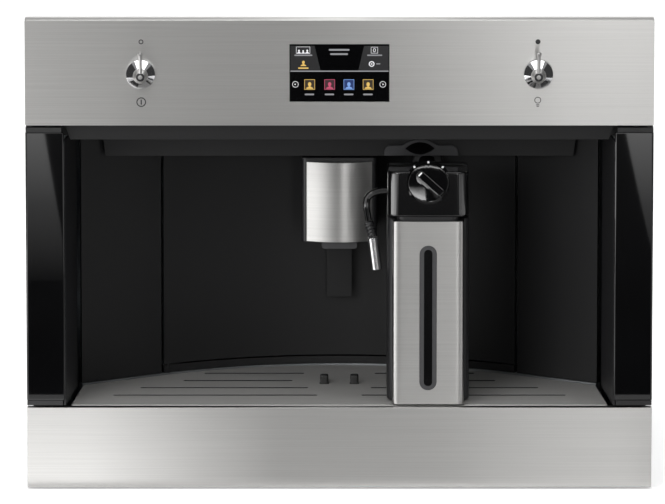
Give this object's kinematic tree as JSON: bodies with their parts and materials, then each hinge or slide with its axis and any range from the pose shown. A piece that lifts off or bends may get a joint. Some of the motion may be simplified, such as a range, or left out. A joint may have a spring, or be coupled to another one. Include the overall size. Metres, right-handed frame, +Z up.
{
  "type": "built-in coffee machine",
  "caption": "Built-in coffee machine with a curved niche, milk carafe, height-adjustable spout, drip drawer, service door and a chassis that pulls out on telescopic rails.",
  "frame": {"origin": "middle of the footprint on the niche floor, level with the underside of the feet", "axes": "+Z up, the front panels face -Y, +X is to the right of someone facing the front"},
  "size_m": [0.595, 0.439, 0.455],
  "materials": {
    "brushed_steel": "horizontally brushed stainless steel",
    "zinc_steel": "zinc-plated sheet steel",
    "chrome": "polished chrome",
    "black_paint": "satin black paint",
    "gloss_black": "gloss black moulded plastic",
    "satin_black": "satin black moulded plastic",
    "dark_grey": "dark grey moulded plastic",
    "black_glass": "black back-painted glass",
    "clear_plastic": "clear moulded plastic",
    "smoked_plastic": "smoked moulded plastic",
    "circuit_board": "solder-masked board",
    "cast_metal": "die-cast aluminium",
    "warm_lens": "opal lens"
  },
  "bodies": {
    "rails_fixed": {"rail_outer_left": "zinc_steel", "rail_outer_right": "zinc_steel"},
    "rail_middles": {"rail_middle_left": "zinc_steel", "rail_middle_right": "zinc_steel"},
    "machine": {"rail_inner_left": "zinc_steel", "rail_inner_right": "zinc_steel", "chassis_base": "zinc_steel", "side_panel_left": "zinc_steel", "side_panel_right": "zinc_steel", "rear_panel": "zinc_steel", "mains_inlet": "satin_black", "top_cover": "zinc_steel", "front_frame": "black_paint", "control_fascia": "brushed_steel", "pillar_glass_left": "black_glass", "pillar_glass_right": "black_glass", "display_glass": "black_glass", "control_board": "circuit_board", "niche_wall_left": "satin_black", "niche_wall_right": "satin_black", "back_panel_left": "gloss_black", "back_panel_right": "gloss_black", "niche_sill": "gloss_black", "dispenser_header": "satin_black", "valance": "satin_black", "dock_bezel": "dark_grey", "niche_lamp_left": "warm_lens", "niche_lamp_right": "warm_lens", "bean_hopper": "smoked_plastic", "grinder": "cast_metal", "infuser": "satin_black", "brew_bracket": "zinc_steel", "boiler": "cast_metal", "water_pump": "cast_metal"},
    "power_control": {"power_knob": "chrome", "power_lever": "chrome"},
    "light_control": {"light_knob": "chrome", "light_lever": "chrome"},
    "service_door": {"service_door": "gloss_black", "steam_nozzle": "cast_metal"},
    "coffee_spout": {"spout_body": "satin_black", "spout_cover": "brushed_steel", "spout_outlet": "dark_grey"},
    "milk_carafe": {"carafe_body": "satin_black", "carafe_cover": "brushed_steel", "carafe_window": "dark_grey", "carafe_lid": "gloss_black", "intake_tube": "clear_plastic"},
    "froth_dial": {"froth_dial": "gloss_black"},
    "milk_pipe": {"milk_pipe": "gloss_black", "pipe_nut": "satin_black", "pipe_sleeve": "chrome"},
    "drip_drawer": {"lower_fascia": "brushed_steel", "cup_grid": "brushed_steel", "drip_tray": "satin_black", "grounds_container": "smoked_plastic"},
    "level_float": {"level_float": "satin_black"},
    "hopper_lid": {"hopper_lid": "satin_black"},
    "funnel_lid": {"funnel_lid": "satin_black"},
    "water_tank": {"water_tank": "clear_plastic"}
  },
  "joints": [
    {"name": "machine_pull_out", "type": "slide", "parent": "rails_fixed", "child": "machine", "axis": [0, -1, 0], "range_m": [0, 0.28]},
    {"name": "middle_rail_travel", "type": "slide", "parent": "rails_fixed", "child": "rail_middles", "axis": [0, -1, 0], "range_m": [0, 0.14]},
    {"name": "power_knob_turn", "type": "hinge", "parent": "machine", "child": "power_control", "pos_m": [-0.188, -0.1925, 0.404], "axis": [0, 1, 0], "range_deg": [0, 180]},
    {"name": "light_knob_turn", "type": "hinge", "parent": "machine", "child": "light_control", "pos_m": [0.188, -0.1925, 0.404], "axis": [0, 1, 0], "range_deg": [0, 180]},
    {"name": "service_door_swing", "type": "hinge", "parent": "machine", "child": "service_door", "pos_m": [-0.1655, -0.0432, 0.19], "axis": [0, 0, -1], "range_deg": [0, 85]},
    {"name": "spout_height", "type": "slide", "parent": "service_door", "child": "coffee_spout", "axis": [0, 0, 1], "range_m": [-0.055, 0]},
    {"name": "carafe_pull_off", "type": "slide", "parent": "service_door", "child": "milk_carafe", "axis": [0, -1, 0], "range_m": [0, 0.14]},
    {"name": "froth_dial_turn", "type": "hinge", "parent": "milk_carafe", "child": "froth_dial", "pos_m": [0.0844, -0.1845, 0.297], "axis": [0, -0.866, 0.5], "range_deg": [-90, 0]},
    {"name": "milk_pipe_swing", "type": "hinge", "parent": "milk_carafe", "child": "milk_pipe", "pos_m": [0.0452, -0.1475, 0.2822], "axis": [1, 0, 0], "range_deg": [-60, 30]},
    {"name": "drip_drawer_pull", "type": "slide", "parent": "machine", "child": "drip_drawer", "axis": [0, -1, 0], "range_m": [0, 0.24]},
    {"name": "level_float_rise", "type": "slide", "parent": "drip_drawer", "child": "level_float", "axis": [0, 0, 1], "range_m": [0, 0.006]},
    {"name": "hopper_lid_swing", "type": "hinge", "parent": "machine", "child": "hopper_lid", "pos_m": [0, 0.1985, 0.3778], "axis": [-1, 0, 0], "range_deg": [0, 95]},
    {"name": "funnel_lid_swing", "type": "hinge", "parent": "machine", "child": "funnel_lid", "pos_m": [0.114, 0.2015, 0.3778], "axis": [-1, 0, 0], "range_deg": [0, 95]},
    {"name": "water_tank_lift", "type": "slide", "parent": "machine", "child": "water_tank", "axis": [0, 0, 1], "range_m": [0, 0.38]}
  ],
  "couplings": [
    {"joint": "middle_rail_travel", "follows": "machine_pull_out", "ratio": 0.5}
  ]
}
